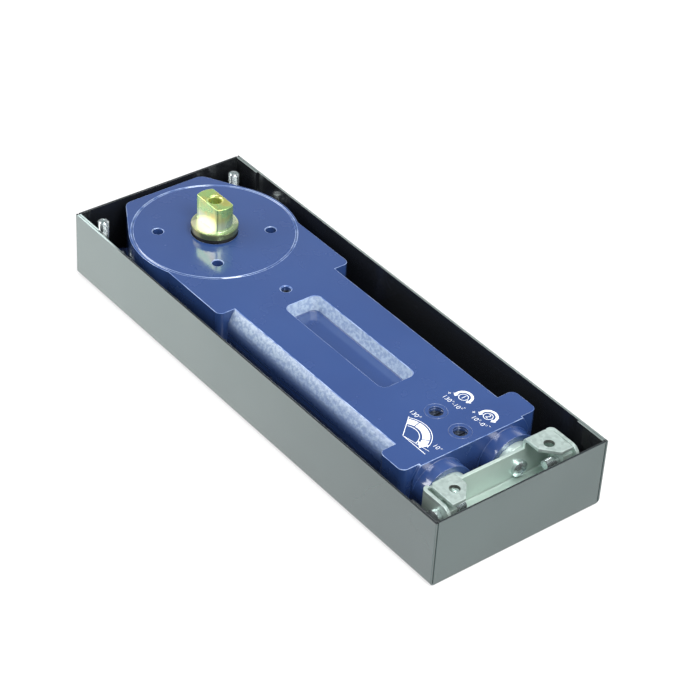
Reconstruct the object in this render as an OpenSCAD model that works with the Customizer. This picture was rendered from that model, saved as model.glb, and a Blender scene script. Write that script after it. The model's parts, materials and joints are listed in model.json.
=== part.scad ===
/* [Cement box] */
// Length of the cement box
box_l = 306; // [290:1:340]
// Width of the cement box
box_w = 108; // [104:1:130]
// Height of the cement box
box_h = 39; // [36:1:60]
// Thickness of the box's sheet steel
box_t = 1.2; // [0.8:0.1:2]
// Outer bend radius along the box's long bottom edges
box_bend_r = 2.4; // [2:0.1:4]
// Length of the tabs that fold in from the end walls
box_tab_l = 20; // [12:1:30]
// Width of the seam between an end wall and a long wall
box_seam = 0.4; // [0.2:0.1:0.8]

/* [Casting] */
// Height of the casting's underside above the base
casting_z0 = 4; // [3:0.5:5]
// Height of the casting's top face above the base
casting_z1 = 38; // [37:0.5:39]
// Radius of the casting's round head
head_r = 46; // [45.5:0.5:48]
// Distance from the spindle's axis to the flat end of the head
head_end = 48.5; // [48:0.5:51]
// Half the spacing of the head's two corners
head_corner_y = 21.5; // [18:0.5:24]
// Radius of the head's two corners
head_corner_r = 6; // [4:0.5:8]
// Half width of the shoulder behind the head
shoulder_y = 42.3; // [41:0.1:44]
// Distance from the spindle's axis to the end of the shoulder
shoulder_l = 64; // [60:1:70]
// Half width of the top plate over the cylinders
waist_y = 32.3; // [30:0.1:35]
// How far the rough flanks beside that plate slope down from its edge
flank_drop = 8; // [6:0.5:10]
// How far the foot of those flanks stands back from the sides of the cylinders
flank_back = 0.4; // [0.2:0.1:1]
// How far the top plate stands back from the front of the cylinder bosses
plate_back = 7.5; // [5:0.5:11]
// Half width across the front ears
ear_y = 42.6; // [40:0.1:44]
// Length of the front ears along the unit
ear_l = 18; // [12:0.5:18]
// How far the front ears stand back from the front of the plate
ear_back = 1.5; // [1:0.5:4]
// Corner radius of the shoulder and the ears
corner_r = 3.5; // [2:0.5:5]
// Height of the foot lugs above the casting's underside
lug_h = 10; // [8:0.5:12]
// Distance from the spindle's axis to the start of the pocket
pocket_x = 77; // [75:0.5:80]
// Distance from the sweep valve back to the end of the pocket
pocket_back = 28.5; // [26:0.5:50]
// Width of the pocket in the top face
pocket_w = 21.6; // [16:0.2:22]
// Depth of the pocket
pocket_d = 8; // [3:0.5:8.5]
// Corner radius of the pocket
pocket_r = 4; // [2:0.5:6]
// Width that the pocket loses on each side down to its floor
pocket_draft = 2; // [1:0.25:3]

/* [Cylinders] */
// Half the spacing of the two cylinders
cyl_y = 21; // [20.5:0.25:22]
// Height of the cylinders' axes above the base
cyl_z = 20; // [19.5:0.25:20.5]
// Radius of the cylinder bores
cyl_r = 12.5; // [12:0.1:12.6]
// Wall around the cylinder bores
cyl_wall = 3.5; // [3:0.25:3.5]
// Length of the cylinder plugs
plug_l = 20.5; // [18:0.5:24]

/* [Head cover] */
// Radius of the round bearing cover
cover_r = 44.2; // [43.8:0.1:44.4]
// Thickness of the bearing cover
cover_h = 9; // [8:0.5:9]
// Radius of the oil chamber below the cover
chamber_r = 42; // [41.5:0.25:42.5]
// Thickness of the casting's floor below the chamber
floor_h = 7; // [6.5:0.25:7.5]
// Radius of the ring of spanner holes in the cover
spanner_ring_r = 30.3; // [26:0.1:34]
// Radius of each spanner hole
spanner_hole_r = 2.9; // [2:0.1:4.5]
// Depth of the spanner holes
spanner_hole_d = 5; // [2:0.5:6]
// Angle of the first spanner hole from the long axis
spanner_angle = 58; // [0:1:90]
// Width of the chamfers around the cover
cover_chamfer = 0.6; // [0.3:0.1:1]

/* [Spindle] */
// Distance from the end of the box to the spindle's axis
spindle_back = 53; // [52:0.5:56]
// Height of the spindle's top above the base
spindle_z1 = 58; // [54:1:66]
// Radius of the drive end before its flats are cut
drive_r = 10.7; // [10:0.1:12]
// Width across the drive flats
drive_w = 10.6; // [9:0.1:14]
// Height of the collar's underside above the casting's top face
collar_up = 1.7; // [1.4:0.1:4]
// Height of the collar below the drive end
collar_h = 4; // [2:0.1:5]
// Radius of the collar
collar_r = 12.85; // [12.5:0.05:13]
// Radius of the neck inside the wiper seal
neck_r = 10; // [9.5:0.1:10.5]
// Radius of the upper journal
upper_journal_r = 11; // [10.8:0.1:11.2]
// Radius of the lower journal
lower_journal_r = 7.5; // [7:0.1:7.8]
// Radius of the tapped hole in the spindle's top
top_hole_r = 3.4; // [2:0.1:3.6]
// Width of the chamfer at the mouth of that hole
top_hole_chamfer = 1; // [0.4:0.1:1.4]
// Depth of the tapped hole in the spindle's top
top_hole_d = 12; // [6:0.5:14]

/* [Bearings and seals] */
// Outer radius of the upper bearing
upper_bearing_r = 17; // [16.6:0.1:18]
// Height of the upper bearing
upper_bearing_h = 6; // [5.5:0.1:6]
// Radius of the bearing's balls
ball_r = 1.6; // [1.2:0.1:1.7]
// Number of balls in the upper bearing
ball_count = 16; // [10:1:22]
// Outer radius of the lower bearing
lower_bearing_r = 11; // [10.6:0.1:12]
// Radius of the lower bearing's needles
needle_r = 1; // [0.8:0.1:1.2]
// Number of needles in the lower bearing
needle_count = 20; // [10:1:22]
// Radius of the bore around the wiper seal
wiper_bore_r = 12.5; // [12.4:0.05:13.4]
// Outer radius of the wiper's raised lip
wiper_lip_r = 12.05; // [11.6:0.05:12.3]
// Height of the cover's sealing ring above the cover's underside
cover_seal_up = 5.2; // [4.8:0.1:5.6]
// Thickness of the cover's sealing ring
cover_seal_d = 1.8; // [1.4:0.1:2]
// Thickness of the plugs' sealing rings
plug_seal_d = 1.8; // [1.4:0.1:2.2]

/* [Rack and pinion] */
// Module of the rack and the pinion
gear_module = 1.6; // [1.5:0.05:1.6]
// Number of teeth on the pinion
pinion_teeth = 10; // [9:1:10]
// Pressure angle of the teeth
pressure = 30; // [28:1:32]
// Height of a tooth above the pitch line, as a share of the module
addendum = 0.75; // [0.6:0.05:0.8]
// Depth of a tooth below the pitch line, as a share of the module
dedendum = 1; // [0.95:0.05:1.1]
// Clearance between the flanks of the teeth
backlash = 0.3; // [0.2:0.05:0.4]
// How far the discs above and below the pinion stand out past its teeth
disc_over = 0.3; // [0.2:0.1:0.6]
// Height of the pinion and the racks
gear_h = 15; // [12:0.5:15.5]
// Number of teeth on each rack
rack_teeth = 8; // [6:2:8]
// Plain length of rack beyond its last tooth on each side
rack_end = 0.8; // [0.4:0.1:1.2]
// Distance from the long axis to the back of the racks
rack_back = 14; // [13:0.25:14.2]
// Height of the link between a rack and its piston
link_h = 12; // [8:0.5:12]
// Distance from the long axis to the inner side of that link
link_in = 10.6; // [10.4:0.1:11.2]
// Distance from the long axis to the outer side of that link
link_out = 18; // [16:0.5:22]
// Distance from the spindle's axis to the piston's rear face
piston_x = 63; // [62.5:0.5:66]
// Length of the pistons
piston_l = 20; // [16:0.5:24]
// Radius of the check balls in the pistons
check_r = 2.5; // [1.5:0.1:3]
// Length of the seal on each piston
piston_seal_l = 3; // [2:0.25:4]

/* [Springs] */
// Thickness of the main springs' wire
wire_d = 3.6; // [2.4:0.1:4]
// Radius of the springs from their axis to the middle of the wire
coil_r = 9.7; // [8:0.1:10]
// Number of turns on each main spring
coil_turns = 14; // [8:1:18]

/* [Valves] */
// Distance from the front of the top plate back to the latch valve
latch_back = 9.5; // [8.5:0.5:11]
// Spacing of the two valves
valve_step = 18.5; // [16:0.5:21]
// Radius of the valve bores
valve_bore_r = 3.7; // [3.6:0.1:4.6]
// Outer radius of the retaining collars around the valves
valve_collar_r = 5.8; // [5.5:0.1:7.5]
// Thickness of the retaining collars
valve_collar_t = 1.2; // [0.8:0.1:2]
// Depth of the valve screws' heads below the top face
valve_recess = 2.5; // [1.5:0.1:4]
// Length of the valve screws' bodies
valve_l = 12; // [10:0.5:13]
// Radius of the valve screws' needles
valve_needle_r = 1.4; // [1:0.1:1.8]
// Thickness of the valve screws' sealing rings
valve_seal_d = 1.1; // [0.8:0.05:1.3]
// Radius of the oil passages
passage_r = 1.5; // [1:0.1:2]
// Distance from the spindle's axis to the filling hole
fill_x = 64.5; // [64:0.5:68]
// Radius of the filling hole
fill_r = 2.6; // [2:0.1:3.4]
// Length of the filling plug
fill_plug_l = 8; // [6:0.5:10]
// Depth of the filling plug below the top face
fill_recess = 2.5; // [1:0.1:4]

/* [Bracket] */
// Thickness of the bracket's sheet steel
bracket_t = 2; // [1.5:0.1:2.5]
// Inner bend radius of the bracket
bracket_bend_r = 1; // [0.5:0.1:2]
// Room between the bracket and the end wall of the box
end_room = 4; // [2:0.5:8]
// Gap between the cylinder bosses and the bracket's web
web_gap = 3.5; // [3:0.5:5]
// Height of the foot's underside above the base
foot_z = 14; // [8:0.5:14]
// Length of the foot and the side wings
foot_l = 21.3; // [19:0.1:22]
// Height of the web's top edge between the tabs
web_z = 32; // [30:0.5:34]
// Height of the side wings' top edge
wing_z = 36.5; // [35.5:0.1:38]
// Half width across the side wings
wing_y = 41.4; // [41:0.1:42]
// Radius of the side wings' outer top corner
wing_corner_r = 6; // [3:0.5:8]
// Distance from the long axis to the inner edge of the cover tabs
tab_in = 22.5; // [20:0.5:24]
// Distance from the long axis to the outer edge of the cover tabs
tab_out = 37.8; // [36:0.1:38.4]
// Length of the cover tabs
tab_l = 19.3; // [17:0.1:20]
// Width of the cover tabs' square tip
tab_tip = 7.8; // [5:0.1:9]
// Length of the cover tabs' inner straight edge
tab_side = 11; // [8:0.5:13]
// Half the spacing of the cover screws' tapped holes
cover_hole_y = 29.7; // [28:0.1:32]
// Distance from the back of the tabs to the tapped holes
cover_hole_x = 10.8; // [9:0.1:12]
// Radius of the cover screws' tapped holes
cover_hole_r = 2.6; // [2:0.1:3]

/* [Bracket and side screws] */
// Radius of the screws' shanks
screw_r = 2.4; // [2:0.1:2.5]
// Radius of the screws' heads
screw_head_r = 4.6; // [4:0.1:5]
// Height of the screws' heads
screw_head_h = 3.4; // [2.5:0.1:3.6]
// Half the spacing of the bracket screws
bracket_screw_y = 19.5; // [18:0.5:22]
// Height of the bracket screws' axes above the base
bracket_screw_z = 21.5; // [19:0.5:22]
// Length of the bracket screws' shanks
bracket_screw_l = 12; // [8:0.5:14]
// Length of the side screws' shanks
side_screw_l = 17; // [16:0.5:24]
// Distance from the web to the side screws' axes
side_screw_x = 13.5; // [12:0.5:14]
// Height of the side screws' axes above the base
side_screw_z = 28; // [27:0.5:30]
// Thickness of the side screws' washers
washer_t = 0.8; // [0.6:0.1:1]
// Length of the threaded blocks along the unit
block_l = 9; // [8:0.2:10]
// Width of the threaded blocks
block_w = 6; // [5:0.1:6.4]
// Height of the threaded blocks
block_h = 9.4; // [8:0.2:9.6]

/* [Level screws and clamps] */
// Distance from the spindle's axis back to the level screws
level_x = 42.5; // [42:0.5:44]
// Distance from the box's long walls in to the level screws' axes
level_in = 9.6; // [9.6:0.1:11]
// Height of the level screws' tops above the base
level_z1 = 36.5; // [30:0.5:38]
// Radius of the level screws and the clamp studs
stud_r = 2.7; // [2.2:0.1:3]
// Distance from the spindle's axis back to the clamp studs
clamp_x = 30; // [28:0.5:31]
// Distance from the box's long walls in to the clamp studs' axes
clamp_in = 11.8; // [11.3:0.1:12.3]
// Height of the clamp studs' tops above the base
clamp_z1 = 22; // [20:0.5:26]
// Height of the clamp nuts
nut_h = 4; // [3:0.5:5]
// Width across the flats of the clamp nuts
nut_w = 9; // [8:0.5:10]
// Clearance around the clamp nuts and studs at the unit's side settings
nut_room = 0.3; // [0.2:0.05:0.4]
// Radius of the foot lugs around the screws
lug_r = 6; // [5:0.1:6.2]
// How far the unit can be set to each side in its box
side_set = 2; // [1:0.25:2]

/* [Fits] */
// Radial clearance of parts that turn or slide in a bore
run = 0.06; // [0.03:0.01:0.1]
// Gap between faces that nearly touch
face_gap = 0.1; // [0.05:0.01:0.2]
// Radial clearance of the pistons in their bores
piston_gap = 0.08; // [0.05:0.01:0.1]
// Radial clearance of a screw in a plain hole
bolt_gap = 0.2; // [0.1:0.05:0.4]

/* [Hidden] */
$fn = 64;

// A hair's breadth, so that cuts run past the faces that they open
eps = 0.01;
near = -1;
far = 1;
sides = [near, far];

// Heights
spindle_x = spindle_back - box_l / 2;
chamber_z0 = casting_z0 + floor_h;
cover_z0 = casting_z1 - cover_h;
gear_z0 = cyl_z - gear_h / 2;
gear_z1 = cyl_z + gear_h / 2;
collar_z0 = casting_z1 + collar_up;
collar_z1 = collar_z0 + collar_h;
lug_z1 = casting_z0 + lug_h;

// Places across the unit
inner_y = box_w / 2 - box_t;
level_y = inner_y - level_in;
clamp_y = inner_y - clamp_in;

// Places along the unit
web_x0 = box_l / 2 - box_t - end_room - foot_l;
web_x1 = web_x0 + bracket_t;
boss_x = web_x0 - web_gap;
plate_x = boss_x - plate_back;
latch_x = plate_x - latch_back;
sweep_x = latch_x - valve_step;
ear_x1 = plate_x - ear_back;
ear_x0 = ear_x1 - ear_l;
shoulder_x = spindle_x + shoulder_l;
plug_x0 = web_x0 - plug_l;
piston_x0 = spindle_x + piston_x;
piston_x1 = piston_x0 + piston_l;
boss_r = cyl_r + cyl_wall;

// Teeth
pitch = PI * gear_module;
pitch_r = gear_module * pinion_teeth / 2;
base_r = pitch_r * cos(pressure);
tip_r = pitch_r + addendum * gear_module;
root_r = pitch_r - dedendum * gear_module;
disc_r = tip_r + disc_over;
rack_half = rack_teeth * pitch / 2 + rack_end;

// Bearings
bearing_z0 = cover_z0 + face_gap;
ball_ring_r = (upper_journal_r + upper_bearing_r) / 2;
ball_z = bearing_z0 + upper_bearing_h / 2;
race_gap = 1.1;
needle_ring_r = lower_journal_r + run + needle_r;

// Rings that seal the cover, the plugs and the valves
cover_seal_z = cover_z0 + cover_seal_up;
plug_seal_x = plug_x0 + 6;
valve_z1 = casting_z1 - valve_recess;
valve_z0 = valve_z1 - valve_l;
valve_seal_z = valve_z1 - 5;

// Side screws
side_x = web_x0 + side_screw_x;
wing_in = wing_y - bracket_t;
head_y = wing_y + face_gap + washer_t + face_gap;

// Half angle that a pinion tooth covers at radius r
function involute(a) = tan(a) * 180 / PI - a;
function tooth_half(r) =
    90 / pinion_teeth - backlash / 4 / pitch_r * 180 / PI
    + involute(pressure) - involute(acos(min(1, base_r / r)));
function polar(r, a) = [r * cos(a), r * sin(a)];
flank_steps = 6;
flank = [for (i = [0:flank_steps]) base_r + (tip_r - base_r) * i / flank_steps];
tooth = concat(
    [polar(root_r - 0.5, -tooth_half(base_r))],
    [for (r = flank) polar(r, -tooth_half(r))],
    [for (i = [flank_steps:-1:0]) polar(flank[i], tooth_half(flank[i]))],
    [polar(root_r - 0.5, tooth_half(base_r))]
);

// Half widths of a rack tooth at its tip and at its foot
rack_tip_half = pitch / 4 - backlash / 4 - addendum * gear_module * tan(pressure);
rack_foot_half = pitch / 4 - backlash / 4 + dedendum * gear_module * tan(pressure);

// Main springs: rings of points along one wound wire
spring_gap = 0.15;
rings_per_turn = 8;
wire_sides = 6;
spring_l = plug_x0 - piston_x1 - 2 * spring_gap - wire_d;
ring_count = coil_turns * rings_per_turn;
function coil_point(i) = [
    spring_l * i / ring_count,
    coil_r * cos(360 * i / rings_per_turn),
    coil_r * sin(360 * i / rings_per_turn)
];
coil_points = [for (i = [0:ring_count]) coil_point(i)];
coil_gap = min([
    for (i = [0:ring_count])
        for (j = [i + rings_per_turn / 2:ring_count])
            norm(coil_points[i] - coil_points[j])
]) - wire_d;
echo(least_gap_between_the_turns_of_a_main_spring = coil_gap);

// Points where the outer tangent of two circles touches them, on side s
function tangent_points(c1, r1, c2, r2, s) =
    let (
        d = c2 - c1,
        a = atan2(d[1], d[0]) + s * acos((r1 - r2) / norm(d))
    )
    [c1 + polar(r1, a), c2 + polar(r2, a)];

// Two circles and the straight-sided link between them, whose sides cross the circles a hair inside
module belt(c1, r1, c2, r2) {
    left = tangent_points(c1, r1 - eps, c2, r2 - eps, 1);
    right = tangent_points(c1, r1 - eps, c2, r2 - eps, -1);
    polygon([left[0], left[1], right[1], right[0]]);
    translate(c1) circle(r1);
    translate(c2) circle(r2);
}

// A rectangle with its corners rounded, from one corner to the opposite one
module round_rect(a, b, r) {
    for (x = [a[0] + r, b[0] - r])
        for (y = [a[1] + r, b[1] - r])
            translate([x, y]) circle(r);
    translate([a[0] + r, a[1]]) square([b[0] - a[0] - 2 * r, b[1] - a[1]]);
    translate([a[0], a[1] + r]) square([b[0] - a[0], b[1] - a[1] - 2 * r]);
}

// A flat slab of a plan outline between two heights
module slab(z0, z1) {
    translate([0, 0, z0]) linear_extrude(z1 - z0) children();
}

// A cylinder along X, Y or Z from a point, with its own length
module rod_x(p, r, l) {
    translate(p) rotate([0, 90, 0]) cylinder(h = l, r = r);
}
module rod_y(p, r, l) {
    translate(p) rotate([-90, 0, 0]) cylinder(h = l, r = r);
}
module rod_z(p, r, l) {
    translate(p) cylinder(h = l, r = r);
}

// A ring of round section whose axis is Z
module o_ring(ring_r, section_d) {
    rotate_extrude() translate([ring_r, 0]) circle(d = section_d, $fn = 32);
}

// Both legs of a bent sheet: one up from the corner, one out along X
module bent_sheet(up, out, t, r) {
    translate([0, r + t]) square([t, up - r - t]);
    translate([r + t, 0]) square([out - r - t, t]);
    intersection() {
        translate([r + t, r + t]) difference() {
            circle(r + t);
            circle(r);
        }
        square(r + t);
    }
}

// The mirror image of a far-side piece on the near side, or the piece itself
module on_side(s) {
    mirror([0, s < 0 ? 1 : 0, 0]) children();
}

// Cross section of the box's base and long walls, open at the top
module box_section() {
    difference() {
        round_rect([-box_w / 2, 0], [box_w / 2, box_h + 2 * box_bend_r], box_bend_r);
        round_rect([-box_w / 2 + box_t, box_t],
            [box_w / 2 - box_t, box_h + 2 * box_bend_r + eps], box_bend_r - box_t);
        translate([-box_w, box_h]) square([2 * box_w, box_w]);
    }
}

module cement_box() {
    color([0.10, 0.11, 0.11]) difference() {
        union() {
            rotate([90, 0, 90]) translate([0, 0, -box_l / 2]) linear_extrude(box_l) box_section();
            for (e = sides)
                slab(box_t / 2, box_h)
                    translate([e * (box_l - box_t) / 2, 0]) square([box_t, 2 * inner_y], center = true);
            for (e = sides)
                for (s = sides)
                    slab(box_t / 2, box_h)
                        translate([e * (box_l - box_tab_l) / 2, s * (inner_y - box_t / 2)])
                            square([box_tab_l, box_t], center = true);
        }
        for (e = sides)
            for (s = sides) {
                slab(box_t, box_h + eps)
                    translate([e * box_l / 2, s * (inner_y - box_seam / 2)])
                        square([2 * box_t, box_seam], center = true);
                slab(box_h - box_t, box_h + eps)
                    translate([e * (box_l - box_tab_l) / 2, s * inner_y])
                        square([box_tab_l + box_t, box_seam / 2], center = true);
            }
    }
}

// Plan outline of the head and its two corners
module head_plan() {
    corner_x = spindle_x - head_end + head_corner_r;
    for (s = sides)
        belt([spindle_x, 0], head_r, [corner_x, s * head_corner_y], head_corner_r);
    belt([corner_x, head_corner_y], head_corner_r, [corner_x, -head_corner_y], head_corner_r);
    translate([corner_x, -head_corner_y]) square([spindle_x - corner_x, 2 * head_corner_y]);
}

// Plan outline of one foot lug, around the level screw and the clamp stud
module lug_plan(s) {
    level = [spindle_x - level_x, s * level_y];
    clamp = [spindle_x - clamp_x, s * clamp_y];
    belt(level, lug_r, clamp, lug_r);
    root = [spindle_x - clamp_x, s * head_corner_y];
    belt(clamp, lug_r, root, lug_r);
    belt(level, lug_r, root, lug_r);
}

// Half cross section of the top plate with its rough flank, slightly rounded outwards
flank_y = cyl_y + boss_r - flank_back;
flank_profile = concat(
    [[0, cyl_z], [0, casting_z1]],
    [
        for (i = [0:4])
            let (u = i / 4)
            [
                waist_y + (flank_y - waist_y) * (1.15 * u - 0.15 * u * u),
                casting_z1 - flank_drop * (0.85 * u + 0.15 * u * u)
            ]
    ],
    [[flank_y, cyl_z]]
);

module ear_plan(s) {
    on_side(s) round_rect([ear_x0, 0], [ear_x1, ear_y], corner_r);
}

module casting_solid() {
    slab(casting_z0, casting_z1) {
        head_plan();
        for (s = sides)
            on_side(s) round_rect([spindle_x, 0], [shoulder_x, shoulder_y], corner_r);
        translate([shoulder_x - corner_r, -cyl_y])
            square([plate_x - shoulder_x + corner_r, 2 * cyl_y]);
        for (s = sides)
            ear_plan(s);
    }
    translate([shoulder_x - corner_r, 0, 0]) rotate([90, 0, 90])
        linear_extrude(plate_x - shoulder_x + corner_r)
            for (s = sides)
                polygon([for (p = flank_profile) [s * p[0], p[1]]]);
    for (s = sides)
        rod_x([spindle_x, s * cyl_y, cyl_z], boss_r, boss_x - spindle_x);
    slab(casting_z0, lug_z1)
        for (s = sides)
            lug_plan(s);
    for (s = sides)
        rod_z([(ear_x0 + ear_x1) / 2, s * (ear_y - ear_l / 2), box_t + face_gap], ear_l / 3, casting_z0);
}

// The recess in the top face, whose walls slope in towards its floor
module pocket() {
    x0 = spindle_x + pocket_x;
    x1 = sweep_x - pocket_back;
    w = pocket_w / 2;
    hull()
        for (layer = [[0, casting_z1], [pocket_draft, casting_z1 - pocket_d]])
            slab(layer[1], layer[1] + eps)
                round_rect([x0 + layer[0], layer[0] - w],
                    [x1 - layer[0], w - layer[0]], pocket_r, $fn = 32);
}

// One valve's bore, seat, collar seat and passage to both cylinders
module valve_cut(at) {
    rod_z([at, 0, valve_z0 - 1.5], valve_bore_r, casting_z1);
    rod_z([at, 0, casting_z1 - valve_collar_t - face_gap], valve_collar_r, casting_z1);
    rod_z([at, 0, cyl_z - 2 * passage_r], valve_needle_r + bolt_gap, casting_z1 - cyl_z);
    rod_y([at, -cyl_y + cyl_r / 2, cyl_z - passage_r / 2], passage_r, 2 * cyl_y - cyl_r);
}

module casting_cuts() {
    for (s = sides)
        rod_x([spindle_x, s * cyl_y, cyl_z], cyl_r, boss_x - spindle_x + eps);
    rod_z([spindle_x, 0, chamber_z0], chamber_r, casting_z1);
    rod_z([spindle_x, 0, cover_z0], cover_r + face_gap / 2, casting_z1);
    translate([spindle_x, 0, casting_z1 - cover_chamfer])
        cylinder(h = cover_chamfer + eps, r1 = cover_r, r2 = cover_r + cover_chamfer);
    rod_z([spindle_x, 0, casting_z0 + 1.5], lower_bearing_r + run, floor_h);
    pocket();
    valve_cut(sweep_x);
    valve_cut(latch_x);
    rod_z([spindle_x + fill_x, 0, cyl_z - passage_r], fill_r, casting_z1);
    rod_y([spindle_x + fill_x, -cyl_y + cyl_r / 2, cyl_z], passage_r, 2 * cyl_y - cyl_r);
    translate([spindle_x + fill_x, 0, casting_z1 - 0.5])
        cylinder(h = 0.5 + eps, r1 = fill_r, r2 = fill_r + 0.5);
    for (s = sides) {
        rod_z([spindle_x - level_x, s * level_y, 0], stud_r + run, lug_z1 + eps);
        slot_y = side_set + face_gap;
        for (d = sides)
            rod_z([spindle_x - clamp_x, s * clamp_y + d * slot_y, 0], stud_r + bolt_gap, lug_z1 + eps);
        slab(0, lug_z1 + eps)
            translate([spindle_x - clamp_x, s * clamp_y])
                square([2 * (stud_r + bolt_gap), 2 * slot_y], center = true);
        rod_z([spindle_x - clamp_x, s * clamp_y, lug_z1], nut_w / 2 / cos(30) + side_set + nut_room,
            nut_h + 2);
        rod_z([spindle_x - clamp_x, s * clamp_y, lug_z1], stud_r + side_set + nut_room,
            clamp_z1 + 1 - lug_z1);
    }
}

module body_casting() {
    color([0.27, 0.38, 0.62]) difference() {
        casting_solid();
        casting_cuts();
    }
}

module bearing_cover() {
    seal_groove_r = cover_r - cover_seal_d * 0.9;
    color([0.29, 0.40, 0.64]) translate([spindle_x, 0, 0]) difference() {
        union() {
            rod_z([0, 0, cover_z0], cover_r, cover_h - cover_chamfer);
            translate([0, 0, casting_z1 - cover_chamfer])
                cylinder(h = cover_chamfer, r1 = cover_r, r2 = cover_r - cover_chamfer);
        }
        rod_z([0, 0, cover_z0 - eps], upper_bearing_r + run, upper_bearing_h + 2 * face_gap);
        rod_z([0, 0, cover_z0 - eps], wiper_bore_r, cover_h + 1);
        translate([0, 0, casting_z1 - 0.5])
            cylinder(h = 0.5 + eps, r1 = wiper_bore_r, r2 = wiper_bore_r + 0.5);
        translate([0, 0, cover_seal_z - cover_seal_d / 2]) difference() {
            cylinder(h = cover_seal_d, r = cover_r + 1);
            translate([0, 0, -eps]) cylinder(h = cover_seal_d + 2 * eps, r = seal_groove_r);
        }
        for (i = [0:3])
            rotate([0, 0, spanner_angle + 90 * i]) translate([spanner_ring_r, 0, 0]) {
                rod_z([0, 0, casting_z1 - spanner_hole_d], spanner_hole_r, spanner_hole_d + 1);
                translate([0, 0, casting_z1 - 0.3])
                    cylinder(h = 0.3 + eps, r1 = spanner_hole_r, r2 = spanner_hole_r + 0.3);
            }
    }
}

module cover_seal() {
    color([0.07, 0.07, 0.07])
        translate([spindle_x, 0, cover_seal_z])
            o_ring(cover_r - cover_seal_d * 0.4 - face_gap / 2, cover_seal_d * 0.9);
}

module spindle_wiper() {
    foot_z0 = bearing_z0 + upper_bearing_h + face_gap;
    foot_z1 = casting_z1 - 1;
    color([0.06, 0.07, 0.07]) translate([spindle_x, 0, 0]) difference() {
        union() {
            rod_z([0, 0, foot_z0], wiper_bore_r - run, foot_z1 - foot_z0);
            rod_z([0, 0, foot_z0], wiper_lip_r, collar_z0 - face_gap - foot_z0);
        }
        rod_z([0, 0, foot_z0 - 1], neck_r + run, collar_z1);
        rod_z([0, 0, foot_z0 - 1], upper_journal_r + run, 1 + (foot_z1 - foot_z0) / 2);
    }
}

// One race of the upper bearing, with its groove for the balls
module bearing_race(r0, r1) {
    translate([spindle_x, 0, bearing_z0]) difference() {
        cylinder(h = upper_bearing_h, r = r1);
        translate([0, 0, -1]) cylinder(h = upper_bearing_h + 2, r = r0);
        translate([0, 0, ball_z - bearing_z0]) o_ring(ball_ring_r, 2 * (ball_r + run));
    }
}

module upper_bearing_outer() {
    color([0.72, 0.73, 0.75]) bearing_race(ball_ring_r + race_gap, upper_bearing_r);
}

module upper_bearing_inner() {
    color([0.75, 0.76, 0.78]) bearing_race(upper_journal_r + run, ball_ring_r - race_gap);
}

module upper_bearing_balls() {
    color([0.85, 0.86, 0.88])
        for (i = [0:ball_count - 1])
            rotate_about_spindle(360 * i / ball_count)
                translate([ball_ring_r, 0, ball_z]) sphere(ball_r, $fn = 32);
}

module rotate_about_spindle(a) {
    translate([spindle_x, 0, 0]) rotate([0, 0, a]) children();
}

module lower_bearing() {
    z0 = casting_z0 + 1.5 + face_gap;
    h = floor_h - 1.5 - 2 * face_gap;
    color([0.70, 0.71, 0.73]) {
        difference() {
            rod_z([spindle_x, 0, z0], lower_bearing_r, h);
            rod_z([spindle_x, 0, z0 - 1], needle_ring_r + needle_r + run / 2, h + 2);
        }
        for (i = [0:needle_count - 1])
            rotate_about_spindle(360 * i / needle_count)
                rod_z([needle_ring_r, 0, z0 + face_gap], needle_r, h - 2 * face_gap);
    }
}

// The cylinder plug: a threaded plug with a groove for its ring and a tapped hole for the bracket screw
module cylinder_plug(s) {
    color([0.70, 0.72, 0.75]) translate([0, s * cyl_y, cyl_z]) difference() {
        rod_x([plug_x0, 0, 0], cyl_r - run / 2, plug_l);
        translate([plug_seal_x - plug_seal_d / 2, 0, 0]) rotate([0, 90, 0]) difference() {
            cylinder(h = plug_seal_d, r = cyl_r + 1);
            translate([0, 0, -eps]) cylinder(h = plug_seal_d + 2 * eps, r = cyl_r - 0.9 * plug_seal_d);
        }
        translate([0, s * (bracket_screw_y - cyl_y), bracket_screw_z - cyl_z])
            rod_x([web_x0 - bracket_screw_l - face_gap, 0, 0], screw_r + run, bracket_screw_l + 1);
    }
}

module plug_seal(s) {
    color([0.07, 0.07, 0.07]) translate([plug_seal_x, s * cyl_y, cyl_z])
        rotate([0, 90, 0]) o_ring(cyl_r - 0.45 * plug_seal_d, 0.88 * plug_seal_d);
}

module near_plug() { cylinder_plug(near); }
module far_plug() { cylinder_plug(far); }
module near_plug_seal() { plug_seal(near); }
module far_plug_seal() { plug_seal(far); }

// One unbroken tube of wire_sides sides swept along the coil's points
module wound_spring(s) {
    // Each ring of the tube lies in the plane of the coil's radius and its axis
    tube = [
        for (i = [0:ring_count])
            for (k = [0:wire_sides - 1])
                let (
                    turn = 360 * i / rings_per_turn,
                    side = 360 * k / wire_sides,
                    reach = coil_r + wire_d / 2 * cos(side)
                )
                [coil_points[i][0] + wire_d / 2 * sin(side), reach * cos(turn), reach * sin(turn)]
    ];
    last = ring_count * wire_sides;
    faces = concat(
        [for (k = [1:wire_sides - 2]) [0, k, k + 1]],
        [for (k = [1:wire_sides - 2]) [last, last + k + 1, last + k]],
        [
            for (i = [0:ring_count - 1])
                for (k = [0:wire_sides - 1])
                    let (n = (k + 1) % wire_sides, a = i * wire_sides, b = a + wire_sides)
                    each [[a + k, b + k, b + n], [a + k, b + n, a + n]]
        ]
    );
    color([0.42, 0.43, 0.45])
        translate([piston_x1 + spring_gap + wire_d / 2, s * cyl_y, cyl_z])
            polyhedron(tube, faces);
}

module near_spring() { wound_spring(near); }
module far_spring() { wound_spring(far); }

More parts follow.
